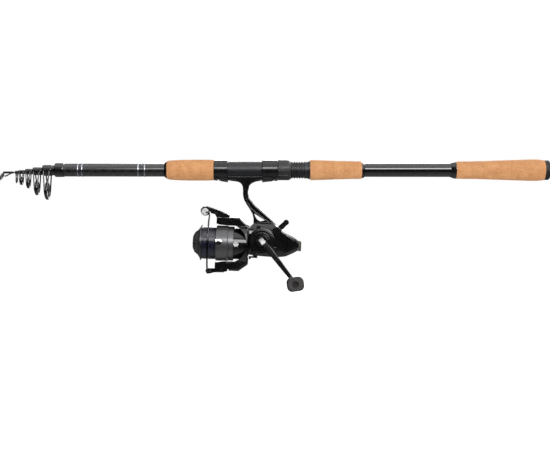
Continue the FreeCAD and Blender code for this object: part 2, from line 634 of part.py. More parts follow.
FACE_BACK = -10.4
FACE_FLOOR = -6.2
FACE_TIP = -(PINION_TIP_R + 0.3)
rim = gear_axis(GEAR_OUTER_R, FACE_BACK + 2.0, FACE_TIP).cut(gear_axis(GEAR_INNER_R, FACE_BACK, 0))
slots = []
for tooth in range(GEAR_TEETH):
    slot = block(GEAR_INNER_R - 1, GEAR_OUTER_R + 1, FACE_FLOOR, 0.0, -0.45, 0.45)
    slot.rotate(Vec(0, 0, 0), Vec(0, 1, 0), 360.0 * tooth / GEAR_TEETH)
    slot.translate(Vec(0, 0, GEAR_W))
    slots.append(slot)
rim = rim.cut(Part.makeCompound(slots))
drive = gear_axis(GEAR_OUTER_R, FACE_BACK, FACE_BACK + 2.2).fuse([rim, gear_axis(journal, -18.2, 13.8)])
drive = drive.fuse(gear_axis(5.2, FACE_BACK - 0.15, -6.8))
save_reel("drive_gear", drive.cut(gear_axis(2.0, -19.0, -11.0)).removeSplitter())

# ---- main shaft and its slider ----
shaft = along_x(SHAFT_R, -59.0, 30.0).fuse([along_x(SHAFT_FRONT_R, -83.5, -58.0)])
shaft = shaft.fuse(along_x(5.5, -55.8, -54.9))
save_reel("main_shaft", shaft.removeSplitter())
slider = block(12.4, 20.4, -3.0, 3.2, -7.4, 4.4).cut(along_x(SHAFT_R, 10, 22))
slider = slider.cut(block(14.6, 18.2, 2.1, 4.0, -8.0, 5.0))
save_reel("oscillation_slider", slider)

# ---- rotor ----
cup = turned([
    (-44.0, DRUM_R - 0.8), (-43.2, DRUM_R), (-27.3, DRUM_R), (-27.3, FRAME_R), (-21.2, FRAME_R), (-19.4, 25.3),
    (-18.2, 24.5), (ROTOR_REAR, 23.0)])
cup = cup.cut(along_x(DRUM_BORE, -41.2, -16.0)).fuse(along_x(8.0, -44.0, -37.2))
arm_ring = turned([
    (-58.6, ROTOR_ARM_OUTER), (-28.6, ROTOR_ARM_OUTER), (-18.7, 26.4), (ROTOR_REAR, 25.2)])
arm_ring = arm_ring.cut(along_x(ROTOR_ARM_INNER, -60.0, -27.3)).cut(along_x(DRUM_R, -28.0, -16.0))
plan = top_plate((
    (BAIL_PIVOT_U, -8.3), (-28.0, -13.5), (-16.0, -13.5), (-16.0, 13.5), (-28.0, 13.5), (BAIL_PIVOT_U, 8.3)),
    -40, 40)
plan = plan.fuse(along_z(8.3, -40, 40, BAIL_PIVOT_U))
arms = arm_ring.common(plan)
arms = soften(
    arms, ARM_ROUND, lambda e: max(e.BoundBox.ZMax, -e.BoundBox.ZMin) > 30.0 and e.BoundBox.XMax < -18.0)
frame_band = along_x(FRAME_R, FRAME_FRONT, -27.0).cut(along_x(ROTOR_ARM_INNER, FRAME_FRONT - 1, -26.0))
side_opening = along_y(OPENING_R, -40, 40, OPENING_U)
side_opening = side_opening.cut(along_x(DRUM_R, -70.0, -10.0))
arms = arms.fuse(frame_band)
for side in (1, -1):
    seat = block(-60.0, -40.6, -20, 20, min(side * ARM_SEAT, side * 40), max(side * ARM_SEAT, side * 40))
    arms = arms.cut(seat)
rotor = cup.fuse(arms).cut(side_opening.cut(block(-70.0, -10.0, -9.5, 9.5, -40.0, 40.0)))
rotor = rotor.cut([along_x(journal, -45.0, -36.0), along_z(2.0, -36.0, -26.0, BAIL_PIVOT_U)])
rotor = rotor.cut([along_z(2.0, 26.0, 36.0, BAIL_PIVOT_U), along_y(1.5, -20.0, -16.0, -32.4)])
rotor = rotor.cut(along_y(3.4, -20.0, -18.2, -32.4))
save_reel("rotor", rotor.removeSplitter())

rotor_nut = turned([(-46.2, 6.2), (-45.9, 6.6), (-44.0, 6.6)]).cut(along_x(2.9, -47.0, -43.0))
hexagon = []
for corner in range(6):
    angle = math.radians(60 * corner)
    hexagon.append(Vec(-47.0, 6.6 * math.cos(angle), 6.6 * math.sin(angle)))
hex_bar = Part.Face(Part.makePolygon(hexagon + [hexagon[0]])).extrude(Vec(4, 0, 0))
save_reel("rotor_nut", rotor_nut.common(hex_bar))

balance = along_y(3.3, -19.5, -18.2, -32.4).fuse(along_y(1.5, -18.4, -17.05, -32.4))
balance = balance.cut(block(-35.0, -30.0, -20.0, -18.9, -0.45, 0.45))
save_reel("balance_screw", balance.removeSplitter())

pivot_screws = []
for side, head_in, head_out in ((1, 35.9, 37.6), (-1, 34.6, 36.3)):
    shank_span = sorted((side * 26.4, side * (head_in + 0.1)))
    head_span = sorted((side * head_in, side * head_out))
    shank = along_z(2.0, shank_span[0], shank_span[1], BAIL_PIVOT_U)
    head = along_z(3.6, head_span[0], head_span[1], BAIL_PIVOT_U)
    slot_span = sorted((side * (head_out - 0.8), side * (head_out + 1)))
    groove = block(BAIL_PIVOT_U - 5, BAIL_PIVOT_U + 5, -0.5, 0.5, slot_span[0], slot_span[1])
    pivot_screws.append(fused(shank, head).cut(groove))
save_reel("bail_screws", Part.makeCompound(pivot_screws))

# ---- bail ----
ROLLER_PIN_R = 1.5
wire_points = [
    Vec(-71.8, -6.6, 37.4), Vec(-67.6, -11.5, 38.2), Vec(-66.0, -19.0, 36.6), Vec(-65.8, -33.0, 28.6),
    Vec(-65.7, -42.4, 15.2), Vec(-65.7, -45.2, 0.0), Vec(-65.7, -42.4, -15.4), Vec(-65.8, -33.0, -28.8),
    Vec(-66.0, -18.0, -36.6), Vec(-66.4, -6.0, -37.0), Vec(-66.5, 1.2, -35.4),
]
bail_bar = wire_rod(wire_points, WIRE_R)
cone = along_y(4.7, -7.6, -5.2, ROLLER_U, ROLLER_W)
cone = soften(cone, 0.8, lambda e: e.BoundBox.YMax < -7.5)
roller_pin = along_y(ROLLER_PIN_R, -5.4, 4.0, ROLLER_U, ROLLER_W)
bail_wire = bail_bar.fuse([cone, roller_pin])
save_reel("bail_wire", bail_wire)

roller = along_y(ROLLER_R, -5.0, 1.1, ROLLER_U, ROLLER_W)
groove_ring = Part.makeTorus(ROLLER_R + 1.1, 2.0, Vec(ROLLER_U, -2.0, ROLLER_W), Vec(0, 1, 0))
roller = roller.cut(groove_ring).cut(along_y(ROLLER_PIN_R + 0.06, -6, 2, ROLLER_U, ROLLER_W))
save_reel("line_roller", roller)

lever_side = side_plate((
    (-42.6, BAIL_PLATE), (-42.3, 35.6), (-52.3, 39.6), (-63.7, 43.6), (-70.5, 45.3), (-75.5, 44.7),
    (-78.3, 42.0), (-78.8, 38.2), (-77.4, 34.9), (-73.0, 33.4), (-69.0, 34.6), (-66.0, 36.9),
    (-60.5, 35.6), (-58.4, BAIL_PLATE)), -7.7, 7.7)
lever_plan = top_plate((
    (BAIL_PIVOT_U, -7.7), (-62.0, -5.0), (-80.0, -5.0), (-80.0, 4.9), (-62.0, 4.9), (BAIL_PIVOT_U, 7.7)), 30, 47)
lever_plan = lever_plan.fuse(along_z(7.7, 30, 47, BAIL_PIVOT_U))
bail_arm = soften(lever_side.common(lever_plan), 1.0, lambda e: e.BoundBox.ZMin > 35.0)
roller_room = along_y(5.3, -8.0, 1.3, ROLLER_U, ROLLER_W)
bail_arm = bail_arm.cut([roller_room, block(-80.0, -67.7, -8.0, 1.3, 30.0, ROLLER_W)])
bail_arm = bail_arm.cut([
    along_z(2.08, 30, 50, BAIL_PIVOT_U), along_z(3.75, 35.8, 50, BAIL_PIVOT_U), bail_wire])
save_reel("bail_arm", bail_arm)

far_side = side_plate((
    (-42.5, -BAIL_PLATE), (-42.5, -34.8), (-52.0, -36.2), (-58.0, -36.6), (-65.0, -38.6), (-68.6, -37.6),
    (-69.8, -34.6), (-67.8, -32.2), (-62.0, -BAIL_PLATE)), -7.7, 7.7)
far_plan = top_plate((
    (BAIL_PIVOT_U, -7.7), (-62.0, -3.6), (-71.0, -3.4), (-71.0, 3.4), (-62.0, 3.6), (BAIL_PIVOT_U, 7.7)), -40, -30)
far_plan = far_plan.fuse(along_z(7.7, -40, -30, BAIL_PIVOT_U))
far_arm = soften(far_side.common(far_plan), 0.8, lambda e: e.BoundBox.ZMax < -33.5)
far_arm = far_arm.cut([
    along_z(2.08, -50, -30, BAIL_PIVOT_U), along_z(3.75, -50, -34.5, BAIL_PIVOT_U), bail_wire])
save_reel("bail_far_arm", far_arm)

# ---- spool ----
HUB_R = 13.0
spool = turned([
    (SPOOL_FRONT, 21.2), (-76.8, 22.0), (-75.9, 22.0), (-75.7, 21.5), (-75.7, HUB_R), (-57.7, HUB_R),
    (-57.7, 21.6), (-57.4, SKIRT_R), (-43.2, SKIRT_R), (-42.6, 21.3), (-36.0, 21.3), (SPOOL_REAR, 21.0),
])
spool = spool.cut([
    along_x(SKIRT_BORE, -55.9, -35.0), along_x(10.6, -78.0, -62.0), along_x(SHAFT_FRONT_R + 0.05, -63, -55)])
save_reel("spool", spool.removeSplitter())

wound = turned([(-75.7, 20.1), (-74.6, LINE_R), (-59.0, LINE_R), (-57.7, 20.2)]).cut(along_x(HUB_R, -76, -57))
save_reel("wound_line", wound)

clip_blank = along_x(SKIRT_R + 1.0, -57.3, -49.0).cut(along_x(SKIRT_R, -58.0, -48.0))
clip_front = block(-57.2, -52.6, -25.0, -15.0, -1.6, 4.6)
clip_round = along_y(3.1, -25.0, -15.0, -52.6, 1.5)
clip_hole = block(-56.0, -52.6, -26.0, -14.0, -0.3, 3.3).fuse(along_y(1.8, -26.0, -14.0, -52.6, 1.5))
line_clip = clip_blank.common(clip_front.fuse(clip_round)).cut(clip_hole)
save_reel("line_clip", line_clip)

WASHER_STEP = 1.15
washers = []
for i in range(5):
    washer_u = -67.6 + WASHER_STEP * i
    washers.append(along_x(10.3, washer_u, washer_u + 1.0).cut(along_x(SHAFT_FRONT_R + 0.1, -70, -60)))
save_reel("drag_washers", Part.makeCompound(washers))

knob = turned([
    (-86.7, 7.2), (-86.3, 8.6), (-84.3, 12.5), (-82.2, 14.2), (-80.3, 15.6), (-78.4, 18.4), (-77.6, 19.0)])
knob = knob.fuse(along_x(6.0, -78.0, -68.2)).cut(along_x(SHAFT_FRONT_R + 0.05, -84.0, -60.0))
knob_cuts = []
for turn_angle in (0, 90, 180, 270):
    for low, high in ((-3.2, -0.45), (0.45, 3.2)):
        pocket = block(-87.0, -82.4, -14.0, -8.2, low, high)
        pocket.rotate(Vec(0, 0, 0), Vec(1, 0, 0), turn_angle)
        knob_cuts.append(pocket)
save_reel("drag_knob", knob.cut(knob_cuts).removeSplitter())

# ---- handle, built with its arm along u and then turned to its angle ----


def save_handle(name, shape):
    posed = shape.copy()
    posed.rotate(Vec(0, 0, 0), Vec(0, 1, 0), HANDLE_ANGLE)
    posed.translate(Vec(0, 0, GEAR_W))
    save_reel(name, posed)


FORK_SLOT = 3.1
ARM_HALF = 3.0
ARM_WIDEST = 3.6
ARM_TIP_HALF = 2.4
hub = along_y(6.2, -28.4, -18.4)
fork = soften(block(-5.2, 5.2, -38.2, -27.0, -7.0, 7.0), 2.0, lambda e: e.BoundBox.YLength > 5)
fork = fork.common(along_y(7.6, -40, -20))
hub = hub.fuse([fork, along_y(2.0, -18.6, -12.0)])
hub = hub.cut([
    block(-9.0, 9.0, -39.0, -28.8, -FORK_SLOT, FORK_SLOT),
    block(0.6, 9.0, -39.0, -24.4, -FORK_SLOT, FORK_SLOT),
    along_z(1.6, -9, 9, 0.0, FOLD_V)])
save_handle("handle_hub", hub.removeSplitter())
save_handle("handle_fold_pin", along_z(1.6, -7.1, 7.1, 0.0, FOLD_V))

arm_plan = top_plate((
    (0.0, -29.3), (7.0, -30.6), (30.0, -37.4), (56.0, -47.2), (62.0, -48.6), (HANDLE_LENGTH, -48.7),
    (HANDLE_LENGTH, -53.3), (60.0, -53.3), (53.0, -52.2), (30.0, -43.2), (7.0, -38.0), (0.0, -36.9)),
    -ARM_WIDEST, ARM_WIDEST)
taper = side_plate((
    (-6.0, -ARM_HALF), (9.0, -ARM_HALF), (13.0, -ARM_WIDEST), (58.0, -ARM_TIP_HALF), (70.0, -ARM_TIP_HALF),
    (70.0, ARM_TIP_HALF), (58.0, ARM_TIP_HALF), (13.0, ARM_WIDEST), (9.0, ARM_HALF), (-6.0, ARM_HALF)), -60, -20)
arm = arm_plan.common(taper).fuse([
    along_z(4.0, -ARM_HALF, ARM_HALF, 0.0, FOLD_V),
    block(HANDLE_LENGTH - 1, HANDLE_LENGTH, -53.3, -48.7, -ARM_TIP_HALF, ARM_TIP_HALF),
    along_y(4.2, -53.3, -48.7, HANDLE_LENGTH, 0.0),
])
arm = soften(arm.removeSplitter(), 1.0, lambda e: e.BoundBox.XMin > 8.0 and e.BoundBox.XMax < 58.0)
arm = arm.fuse([
    along_y(2.5, -80.0, -52.0, HANDLE_LENGTH, 0.0), along_y(3.3, -80.6, -79.4, HANDLE_LENGTH, 0.0)])
arm = arm.cut(along_z(1.66, -5, 5, 0.0, FOLD_V))
save_handle("handle_arm", arm.removeSplitter())

KNOB_SECTIONS = (
    (-54.0, 5.8, 5.2), (-55.6, 7.4, 6.4), (-58.6, 8.7, 7.2), (-66.0, 9.6, 7.9), (-75.0, 10.2, 8.4),
    (-80.6, 10.2, 8.5), (-83.4, 9.6, 7.9), (-84.8, 8.2, 6.6),
)
KNOB_CORNER = 0.72
KNOB_TURN = -60.0


def rounded_ring(v, half_u, half_w):
    """Closed wire of a rectangle with generous round corners, standing across the knob's spindle."""
    corner = KNOB_CORNER * half_w
    edges = []
    for quarter in range(4):
        angle = math.radians(90.0 * quarter)
        sign_u = (1, -1, -1, 1)[quarter]
        sign_w = (1, 1, -1, -1)[quarter]
        centre = Vec(sign_u * (half_u - corner), v, sign_w * (half_w - corner))
        points = []
        for step in (0.0, 0.5, 1.0):
            turn = angle + step * math.pi / 2
            points.append(centre + Vec(corner * math.cos(turn), 0, corner * math.sin(turn)))
        if edges:
            edges.append(Part.makeLine(edges[-1].Vertexes[-1].Point, points[0]))
        edges.append(Part.Arc(points[0], points[1], points[2]).toShape())
    edges.append(Part.makeLine(edges[-1].Vertexes[-1].Point, edges[0].Vertexes[0].Point))
    wire = Part.Wire(edges)
    wire.rotate(Vec(0, v, 0), Vec(0, 1, 0), KNOB_TURN)
    wire.translate(Vec(HANDLE_LENGTH, 0, 0))
    return wire


rings = []
for knob_v, long_half, short_half in KNOB_SECTIONS:
    rings.append(rounded_ring(knob_v, long_half, short_half))
grip = Part.makeLoft(rings, True, False)
grip = grip.cut([
    along_y(2.56, -82.0, -50.0, HANDLE_LENGTH, 0.0), along_y(3.5, -82.0, -79.2, HANDLE_LENGTH, 0.0),
    along_y(3.7, -86.0, -82.8, HANDLE_LENGTH, 0.0)])
save_handle("handle_knob", grip)

# ---- levers and rear knob ----
lever_disc = along_y(LEVER_DISC_R, -16.6, -12.9, LEVER_PIN[0], LEVER_PIN[1])
reach_u = LEVER_TIP[0] - LEVER_PIN[0]
reach_w = LEVER_TIP[1] - LEVER_PIN[1]
reach = math.hypot(reach_u, reach_w)
side_u = -reach_w / reach
side_w = reach_u / reach
link = side_plate([
    (LEVER_PIN[0] + side_u * 3.6, LEVER_PIN[1] + side_w * 3.6),
    (LEVER_TIP[0] + side_u * 2.9, LEVER_TIP[1] + side_w * 2.9),
    (LEVER_TIP[0] - side_u * 2.9, LEVER_TIP[1] - side_w * 2.9),
    (LEVER_PIN[0] - side_u * 3.6, LEVER_PIN[1] - side_w * 3.6)], -16.0, -13.2)
tip_pad = along_y(LEVER_TIP_R, -18.4, -13.2, LEVER_TIP[0], LEVER_TIP[1])
free_lever = lever_disc.fuse([link, tip_pad, along_y(2.0, -13.2, -10.4, LEVER_PIN[0], LEVER_PIN[1])])
free_lever = free_lever.removeSplitter()
free_lever = soften(free_lever, 0.7, lambda e: e.BoundBox.YMax < -15.9)
save_reel("free_spool_lever", free_lever)

tension = along_x(6.6, 44.9, 48.4, TENSION_W)
tension = soften(tension, 0.7, lambda e: e.BoundBox.XMin > 48.3)
ridges = []
for i in range(18):
    ridge = along_x(0.7, 44.0, 49.0, TENSION_W + 6.9)
    ridge.rotate(Vec(0, 0, TENSION_W), Vec(1, 0, 0), 20.0 * i)
    ridges.append(ridge)
tension = tension.cut(Part.makeCompound(ridges)).fuse(along_x(2.9, 40.2, 45.0, TENSION_W))
save_reel("tension_knob", tension.removeSplitter())

brake_plan = ((-16.4, -2.4), (-8.5, -3.4), (-5.6, -2.6), (-5.6, 2.6), (-8.5, 3.4), (-16.4, 2.4))
brake = top_plate(brake_plan, -16.6, -14.7)
brake = brake.fuse(block(-16.4, -13.8, -2.4, 2.4, -18.2, -16.5))
brake = soften(brake.removeSplitter(), 0.5)
brake = brake.fuse(along_z(1.8, -15.0, -11.8, BRAKE_PIN_U))
save_reel("anti_reverse_lever", brake.removeSplitter())
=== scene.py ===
import json
import math

import bpy
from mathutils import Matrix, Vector


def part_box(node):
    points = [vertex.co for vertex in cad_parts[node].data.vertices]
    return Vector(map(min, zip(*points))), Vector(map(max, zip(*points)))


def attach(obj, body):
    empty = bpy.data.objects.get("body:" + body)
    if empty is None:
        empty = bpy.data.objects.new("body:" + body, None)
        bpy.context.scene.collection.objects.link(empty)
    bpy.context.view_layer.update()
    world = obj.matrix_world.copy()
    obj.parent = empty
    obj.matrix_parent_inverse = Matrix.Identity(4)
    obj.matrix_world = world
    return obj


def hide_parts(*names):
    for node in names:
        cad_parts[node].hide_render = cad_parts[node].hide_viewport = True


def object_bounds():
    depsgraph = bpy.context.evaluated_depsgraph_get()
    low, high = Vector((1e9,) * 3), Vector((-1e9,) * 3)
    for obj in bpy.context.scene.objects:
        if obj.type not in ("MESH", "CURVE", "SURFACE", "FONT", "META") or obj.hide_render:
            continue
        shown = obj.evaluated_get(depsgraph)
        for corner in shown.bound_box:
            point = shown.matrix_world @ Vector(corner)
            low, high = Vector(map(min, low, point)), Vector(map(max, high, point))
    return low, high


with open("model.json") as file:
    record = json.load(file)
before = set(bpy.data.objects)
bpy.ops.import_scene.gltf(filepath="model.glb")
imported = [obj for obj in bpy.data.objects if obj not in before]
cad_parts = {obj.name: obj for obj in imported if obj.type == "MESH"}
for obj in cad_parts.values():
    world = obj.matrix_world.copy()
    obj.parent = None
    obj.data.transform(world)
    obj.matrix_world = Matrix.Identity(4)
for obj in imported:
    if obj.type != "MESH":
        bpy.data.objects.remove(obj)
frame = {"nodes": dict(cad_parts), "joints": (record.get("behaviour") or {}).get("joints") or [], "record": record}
CAD_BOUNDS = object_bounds()
NODES = frame["nodes"]
JOINTS = {joint["name"]: joint for joint in frame["joints"]}


# ---- sizes that the materials use, in metres ----
LACQUER_IOR = 1.5
BEVEL_SAMPLES = 6
MOULDED_EDGE = 0.0007
FORGED_EDGE = 0.0006
INSET_EDGE = 0.0003
RECESS_EDGE = 0.0002
CORK_RING = 0.0127
WRAP_END_X = -0.1030
NO_WRAP_X = -9.0
# Radius of the black painted shade in the line clip's D.
CLIP_SHADE_RADIUS = 0.0028
CAP_BACK_Y = -0.0050
CAP_EDGE = 0.0001
CAP_RADIUS = 0.0052
# Radius of the nearly black painted shade in the knob's recessed spot.
KNOB_SHADE_RADIUS = 0.0037
BARE_TANG_REACH = 0.0040


# ---- small helpers for shader nodes ----
class Shader:
    """One procedural material: keeps its node tree and joins nodes with short calls."""

    def __init__(self, name, roughness=0.4, metallic=0.0, coat=0.0, coat_roughness=0.05, rounding=0.0):
        self.material = bpy.data.materials.new(name)
        self.material.use_nodes = True
        self.tree = self.material.node_tree
        self.tree.nodes.clear()
        self.output = self.tree.nodes.new("ShaderNodeOutputMaterial")
        self.surface = self.tree.nodes.new("ShaderNodeBsdfPrincipled")
        self.surface.inputs["Roughness"].default_value = roughness
        self.surface.inputs["Metallic"].default_value = metallic
        self.surface.inputs["Coat Weight"].default_value = coat
        self.surface.inputs["Coat Roughness"].default_value = coat_roughness
        self.surface.inputs["IOR"].default_value = LACQUER_IOR
        self.tree.links.new(self.surface.outputs[0], self.output.inputs["Surface"])
        self.place = self.tree.nodes.new("ShaderNodeTexCoord").outputs["Object"]
        self.rounded = None
        if rounding > 0.0:
            bevel = self.tree.nodes.new("ShaderNodeBevel")
            bevel.samples = BEVEL_SAMPLES
            bevel.inputs["Radius"].default_value = rounding
            self.rounded = bevel.outputs["Normal"]
            self.link(self.rounded, self.surface.inputs["Normal"])
            self.link(self.rounded, self.surface.inputs["Coat Normal"])

    def link(self, source, target):
        self.tree.links.new(source, target)

    def scaled(self, scale, rotation=(0.0, 0.0, 0.0)):
        """Object coordinates in metres, turned and then stretched by scale."""
        mapping = self.tree.nodes.new("ShaderNodeMapping")
        mapping.inputs["Scale"].default_value = scale
        mapping.inputs["Rotation"].default_value = rotation
        self.link(self.place, mapping.inputs["Vector"])
        return mapping.outputs["Vector"]

    def even(self):
        return self.scaled((1.0, 1.0, 1.0))

    def noise(self, vector, scale, detail=4.0, roughness=0.55, distortion=0.0):
        node = self.tree.nodes.new("ShaderNodeTexNoise")
        node.inputs["Scale"].default_value = scale
        node.inputs["Detail"].default_value = detail
        node.inputs["Roughness"].default_value = roughness
        node.inputs["Distortion"].default_value = distortion
        self.link(vector, node.inputs["Vector"])
        return node.outputs["Fac"]

    def cells(self, vector, scale):
        """Distance to the nearest of scattered points, for pores and cast grain."""
        node = self.tree.nodes.new("ShaderNodeTexVoronoi")
        node.inputs["Scale"].default_value = scale
        self.link(vector, node.inputs["Vector"])
        return node.outputs["Distance"]

    def ramp(self, source, stops):
        node = self.tree.nodes.new("ShaderNodeValToRGB")
        ramp = node.color_ramp
        while len(ramp.elements) < len(stops):
            ramp.elements.new(0.5)
        for element, (position, colour) in zip(ramp.elements, stops):
            element.position = position
            element.color = (*colour, 1.0)
        self.link(source, node.inputs["Fac"])
        return node.outputs["Color"]

    def grey(self, source, low, high, start=0.0, end=1.0):
        """Value that goes from low to high while the source goes from start to end."""
        node = self.tree.nodes.new("ShaderNodeMapRange")
        node.inputs["From Min"].default_value = start
        node.inputs["From Max"].default_value = end
        node.inputs["To Min"].default_value = low
        node.inputs["To Max"].default_value = high
        self.link(source, node.inputs["Value"])
        return node.outputs["Result"]

    def math(self, operation, first, second=None):
        node = self.tree.nodes.new("ShaderNodeMath")
        node.operation = operation
        for value, socket in zip((first, second), node.inputs):
            if value is None:
                continue
            if isinstance(value, (int, float)):
                socket.default_value = value
            else:
                self.link(value, socket)
        return node.outputs[0]

    def mix(self, factor, first, second, blend="MIX"):
        node = self.tree.nodes.new("ShaderNodeMix")
        node.data_type = "RGBA"
        node.blend_type = blend
        sockets = (node.inputs[0], node.inputs[6], node.inputs[7])
        for value, socket in zip((factor, first, second), sockets):
            if isinstance(value, (int, float)):
                socket.default_value = value if socket.type == "VALUE" else (value, value, value, 1.0)
            elif isinstance(value, tuple):
                socket.default_value = (*value, 1.0)
            else:
                self.link(value, socket)
        return node.outputs[2]

    def axes(self):
        node = self.tree.nodes.new("ShaderNodeSeparateXYZ")
        self.link(self.place, node.inputs[0])
        return node.outputs

    def near(self, centre, radius, edge, planar=False):
        """1 within radius of a point, falling to 0 over edge; planar leaves Y out."""
        offset = self.tree.nodes.new("ShaderNodeVectorMath")
        offset.operation = "SUBTRACT"
        offset.inputs[1].default_value = centre
        self.link(self.place, offset.inputs[0])
        flat = self.tree.nodes.new("ShaderNodeVectorMath")
        flat.operation = "MULTIPLY"
        flat.inputs[1].default_value = (1.0, 0.0 if planar else 1.0, 1.0)
        self.link(offset.outputs["Vector"], flat.inputs[0])
        length = self.tree.nodes.new("ShaderNodeVectorMath")
        length.operation = "LENGTH"
        self.link(flat.outputs["Vector"], length.inputs[0])
        return self.grey(length.outputs["Value"], 1.0, 0.0, radius, radius + edge)

    def colour(self, source):
        self.link(source, self.surface.inputs["Base Color"])

    def rough(self, source):
        self.link(source, self.surface.inputs["Roughness"])

    def bump(self, height, strength, distance=0.0002, below=None):
        node = self.tree.nodes.new("ShaderNodeBump")
        node.inputs["Strength"].default_value = strength
        node.inputs["Distance"].default_value = distance
        self.link(height, node.inputs["Height"])
        below = below or self.rounded
        if below is not None:
            self.link(below, node.inputs["Normal"])
        self.link(node.outputs["Normal"], self.surface.inputs["Normal"])
        return node.outputs["Normal"]


def glossy_moulding(name, dark, light, roughness, coat=0.5):
    """Polished dark moulding: faint flow marks, handling haze and a slight orange peel."""
    shader = Shader(name, coat=coat, coat_roughness=0.06, rounding=MOULDED_EDGE)
    even = shader.even()
    cloud = shader.noise(even, 60.0, 5.0, 0.6)
    shader.colour(shader.ramp(cloud, ((0.3, dark), (0.75, light))))
    haze = shader.noise(even, 170.0, 6.0, 0.65)
    shader.rough(shader.grey(haze, roughness * 0.75, roughness * 1.5, 0.3, 0.75))
    peel = shader.noise(even, 650.0, 2.0, 0.5)
    shader.bump(peel, 0.05, 0.00010)
    return shader.material


def satin_moulding(name, dark, light, roughness, grain=1600.0, depth=0.35):
    """Fine spark-eroded grain on a dull moulding."""
    shader = Shader(name)
    even = shader.even()
    cloud = shader.noise(even, 90.0, 5.0, 0.6)
    shader.colour(shader.ramp(cloud, ((0.3, dark), (0.72, light))))
    haze = shader.noise(even, 240.0, 4.0)
    shader.rough(shader.grey(haze, roughness * 0.85, roughness * 1.15, 0.3, 0.7))
    shader.bump(shader.noise(even, grain, 3.0, 0.6), depth, 0.00010)
    return shader.material


def metal(name, dark, light, roughness, stretch=(1.0, 1.0, 1.0), streaks=900.0, depth=0.15):
    """Machined metal with fine streaks along the tool's path."""
    shader = Shader(name, metallic=1.0)
    drawn = shader.scaled(stretch)
    streak = shader.noise(drawn, streaks, 4.0, 0.6)
    cloud = shader.noise(shader.even(), 130.0, 4.0)
    shader.colour(shader.ramp(cloud, ((0.3, dark), (0.7, light))))
    shader.rough(shader.grey(streak, roughness * 0.7, roughness * 1.35, 0.3, 0.7))
    shader.bump(streak, depth, 0.00006)
    return shader.material


def cork_material():
    """Natural cork: soft cells, ring-to-ring tint, dark lenticels and filled pits."""
    shader = Shader("cork", roughness=0.72)
    even = shader.even()
    fine = shader.noise(even, 420.0, 6.0, 0.7)
    base = shader.ramp(fine, (
        (0.28, (0.270, 0.110, 0.035)), (0.45, (0.370, 0.163, 0.054)), (0.60, (0.425, 0.196, 0.070)),
        (0.80, (0.470, 0.236, 0.092))))
    patches = shader.noise(even, 75.0, 3.0, 0.5)
    tinted = shader.mix(shader.grey(patches, 0.0, 0.55, 0.45, 0.75), base, (0.495, 0.255, 0.103))
    along = shader.axes()[0]
    ring = shader.math("FRACT", shader.math("MULTIPLY", along, 1.0 / CORK_RING))
    from_seam = shader.math("ABSOLUTE", shader.math("SUBTRACT", ring, 0.5))
    seam = shader.math("LESS_THAN", from_seam, 0.012)
    seam = shader.math("MULTIPLY", seam, 0.45)
    tinted = shader.mix(seam, tinted, (0.20, 0.082, 0.029))
    flecks = shader.noise(shader.scaled((1.0, 2.6, 2.6)), 210.0, 3.0, 0.65, 0.4)
    fleck = shader.grey(flecks, 0.0, 1.0, 0.655, 0.70)
    pores = shader.cells(shader.scaled((1.6, 1.0, 1.0)), 330.0)
    pore = shader.grey(pores, 1.0, 0.0, 0.10, 0.20)
    pored = shader.grey(shader.noise(even, 120.0, 2.0), 0.0, 1.0, 0.50, 0.62)
    pore = shader.math("MULTIPLY", pore, pored)
    dark = shader.math("MAXIMUM", fleck, pore)
    shader.colour(shader.mix(shader.math("MULTIPLY", dark, 0.88), tinted, (0.105, 0.043, 0.018)))
    height = shader.math("SUBTRACT", shader.math("MULTIPLY", fine, 0.35), dark)
    shader.bump(height, 0.75, 0.00028)
    shader.rough(shader.grey(fine, 0.62, 0.82, 0.3, 0.7))
    return shader.material


def blank_material(name, gloss_from, wrap_depth):
    """Carbon tube under lacquer. A crossed diagonal wrap shows faintly ahead of gloss_from."""
    shader = Shader(name, coat=0.8, coat_roughness=0.04)
    x, y, z = shader.axes()
    around = shader.math("ARCTAN2", z, y)
    lay = shader.math("MULTIPLY", x, 560.0)
    turns = shader.math("MULTIPLY", around, 3.0)
    first = shader.math("SINE", shader.math("ADD", lay, turns))
    second = shader.math("SINE", shader.math("SUBTRACT", lay, turns))
    first = shader.math("MULTIPLY", shader.math("GREATER_THAN", first, 0.55), 0.5)
    second = shader.math("MULTIPLY", shader.math("GREATER_THAN", second, 0.55), 0.5)
    weave = shader.math("MAXIMUM", first, second)
    forward = shader.math("LESS_THAN", x, gloss_from)
    shown = shader.math("MULTIPLY", shader.math("MULTIPLY", weave, forward), wrap_depth)
    even = shader.scaled((0.25, 1.0, 1.0))
    fibre = shader.noise(even, 700.0, 4.0, 0.6)
    base = shader.ramp(fibre, ((0.3, (0.0020, 0.0018, 0.0020)), (0.75, (0.0050, 0.0046, 0.0050))))
    shader.colour(shader.mix(shown, base, (0.014, 0.0145, 0.0165)))
    haze = shader.noise(shader.even(), 120.0, 5.0)
    matt = shader.grey(haze, 0.26, 0.40, 0.3, 0.7)
    gloss = shader.grey(haze, 0.10, 0.17, 0.3, 0.7)
    shader.rough(shader.mix(forward, gloss, matt))
    shader.bump(shader.math("ADD", shader.math("MULTIPLY", fibre, 0.25), shown), 0.08, 0.0001)
    return shader.material


def rubber_material(name, dark, light, painted_shade_spot=None):
    """Dull rubber; painted shade: nearly black within a given recessed spot's radius."""
    shader = Shader(name, roughness=0.7)
    even = shader.even()
    tone = shader.ramp(shader.noise(even, 140.0, 5.0), ((0.3, dark), (0.7, light)))
    if painted_shade_spot is not None:
        # Painted shade: the recessed spot is coloured nearly black in place of shade from light.
        knob_shade_mask = shader.near(*painted_shade_spot, RECESS_EDGE, planar=True)
        tone = shader.mix(knob_shade_mask, tone, (0.0015, 0.0013, 0.0013))
    shader.colour(tone)
    shader.rough(shader.grey(shader.noise(even, 300.0, 4.0), 0.55, 0.8, 0.3, 0.7))
    shader.bump(shader.noise(even, 2200.0, 3.0, 0.7), 0.45, 0.00012)
    return shader.material


